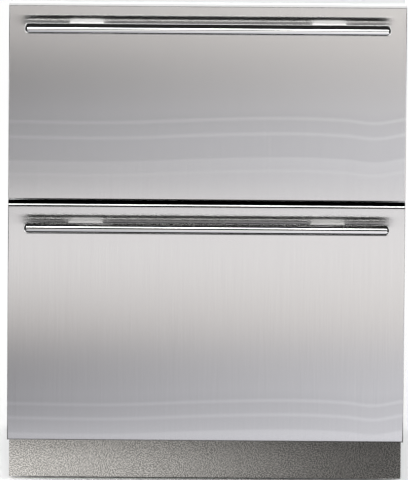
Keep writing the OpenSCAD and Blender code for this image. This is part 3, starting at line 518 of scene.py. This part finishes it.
# Back, base and machine compartment: galvanised sheet, where the zinc has set in a pattern of flat
# crystals, each mirroring a little differently.
zinc_spangle, spangle_tree, spangle_shader = new_finish("zinc_spangle")
crystals = add_node(spangle_tree, "TexVoronoi", {"Vector": object_place(spangle_tree), "Scale": 95})
crystal_grey = add_node(spangle_tree, "RGBToBW", {0: crystals.outputs["Color"]}).outputs[0]
crystal_gloss = add_node(spangle_tree, "MapRange", {"Value": crystal_grey, "To Min": 0.28, "To Max": 0.5})
crystal_tones = ((0, (0.50, 0.52, 0.54)), (1, (0.72, 0.74, 0.76)))
feed(spangle_shader, {
    "Metallic": 1, "Roughness": crystal_gloss.outputs[0],
    "Base Color": tone_ramp(spangle_tree, crystal_grey, crystal_tones)})
dress(zinc_spangle, "back_panel", "compartment_cover", "base_pan", "compartment_bulkhead",
      "counter_brackets")

# Slide rails: cold-rolled steel with bright zinc, drawn lengthwise through the rolls. Each drawer runs
# on a fixed, a middle and a drawer rail at either side.
rail_steel = metal_finish(
    "rail_steel", (0.60, 0.61, 0.62), (0.76, 0.77, 0.77), (900, 14, 900), (0.22, 0.32), 0.00003)
dress(rail_steel, "fixed_rails", "upper_middle_rails", "lower_middle_rails", "upper_drawer_rails",
      "lower_drawer_rails")

# Liner, frame and covers of the cold side: vacuum-formed and moulded white plastic with a soft sheen,
# held in the case by the foam behind them.
cold_white = moulded_finish(
    "cold_white", (0.86, 0.87, 0.87), (0.91, 0.92, 0.92), 0.0012, (0.32, 0.4), 0.00004)
dress(cold_white, "inner_liner", "front_frame", "evaporator_cover", "drain_trough", "evaporator_fan_blade")

# Drawer shells and bins: heavier moulded white plastic, finely textured so that frost wipes off. The
# shell closes the back of each front, and the bin sits between the rails.
bin_white = moulded_finish(
    "bin_white", (0.84, 0.85, 0.86), (0.89, 0.90, 0.91), 0.0009, (0.38, 0.5), 0.00008)
dress(bin_white, "upper_door_shell", "lower_door_shell", "upper_bin", "lower_bin")

# Insulation: rigid polyurethane foam, pale yellow and full of fine closed cells, blown in between the
# liner and the case and into the drawer fronts.
foam_yellow, foam_tree, foam_shader = new_finish("foam_yellow")
foam_cells = add_node(
    foam_tree, "TexVoronoi", {"Vector": object_place(foam_tree), "Scale": 700}).outputs["Distance"]
foam_pores = add_node(foam_tree, "Bump", {"Height": foam_cells, "Distance": 0.0006}, invert=True)
foam_tones = ((0, (0.84, 0.76, 0.52)), (1, (0.66, 0.57, 0.34)))
feed(foam_shader, {
    "Roughness": 0.9, "Normal": foam_pores.outputs[0],
    "Base Color": tone_ramp(foam_tree, foam_cells, foam_tones)})
dress(foam_yellow, "insulation_foam", "upper_door_core", "lower_door_core")

# Gaskets: soft extruded grey rubber pressed into the shell of each drawer front, matt, with a dusty
# bloom. They seal against the frame.
gasket_grey = moulded_finish(
    "gasket_grey", (0.42, 0.42, 0.42), (0.50, 0.50, 0.50), 0.0007, (0.6, 0.75), 0.00005)
dress(gasket_grey, "upper_gasket", "lower_gasket")

# Compressor: drawn steel shell in black stoving enamel. The condenser's tube and wires are dipped in the
# same black.
black_enamel = moulded_finish(
    "black_enamel", (0.016, 0.016, 0.017), (0.028, 0.028, 0.030), 0.0018, (0.2, 0.34), 0.00006, 0.4)
dress(black_enamel, "compressor")
condenser_black = moulded_finish(
    "condenser_black", (0.02, 0.02, 0.021), (0.035, 0.035, 0.037), 0.0011, (0.35, 0.5), 0.00005)
dress(condenser_black, "condenser_coil")

# Grommets: rings of black rubber under the compressor's feet, moulded soft so that its shake stays out
# of the base pan.
grommet_rubber = moulded_finish(
    "grommet_rubber", (0.022, 0.022, 0.022), (0.04, 0.04, 0.04), 0.0006, (0.7, 0.85), 0.00008)
dress(grommet_rubber, "compressor_grommets")

# Shroud, fans, tray and boxes of the machine compartment: moulded plastic, black where it is out of
# sight and grey where a hand reaches it.
plastic_black = moulded_finish(
    "plastic_black", (0.03, 0.03, 0.031), (0.05, 0.05, 0.052), 0.0008, (0.42, 0.58), 0.00006)
dress(plastic_black, "fan_shroud", "condenser_fan_blade", "evaporator_fan_motor", "condenser_fan_motor",
      "evaporation_tray", "mains_inlet")
plastic_grey = moulded_finish(
    "plastic_grey", (0.30, 0.31, 0.32), (0.37, 0.38, 0.39), 0.0008, (0.4, 0.52), 0.00006)
dress(plastic_grey, "control_box")

# Control panel and its three buttons: white and grey moulded plastic, smoother than the shells. The
# panel is clipped to the frame above the upper drawer.
panel_white = moulded_finish(
    "panel_white", (0.82, 0.83, 0.84), (0.87, 0.88, 0.89), 0.0010, (0.3, 0.4), 0.00003)
dress(panel_white, "control_panel")
button_grey = moulded_finish(
    "button_grey", (0.34, 0.35, 0.36), (0.41, 0.42, 0.43), 0.0007, (0.35, 0.45), 0.00004)
dress(button_grey, "power_button", "colder_button", "warmer_button")

# Evaporator: aluminium tube and fins, dull from the press oil. The defrost heater under it is a sheathed
# steel rod, browned by heat.
fin_aluminium = metal_finish(
    "fin_aluminium", (0.68, 0.69, 0.71), (0.84, 0.85, 0.86), (120, 700, 700), (0.3, 0.46), 0.00003)
dress(fin_aluminium, "evaporator_coil")
heater_steel = metal_finish(
    "heater_steel", (0.30, 0.25, 0.21), (0.50, 0.45, 0.39), (160, 500, 500), (0.35, 0.5), 0.00003)
dress(heater_steel, "defrost_heater")

# Refrigerant lines and filter drier: drawn copper tube, bent by hand and brown where it has been
# brazed.
copper_tube = metal_finish(
    "copper_tube", (0.60, 0.28, 0.16), (0.86, 0.50, 0.34), (70, 70, 70), (0.24, 0.42), 0.00003)
dress(copper_tube, "refrigerant_lines", "filter_drier")
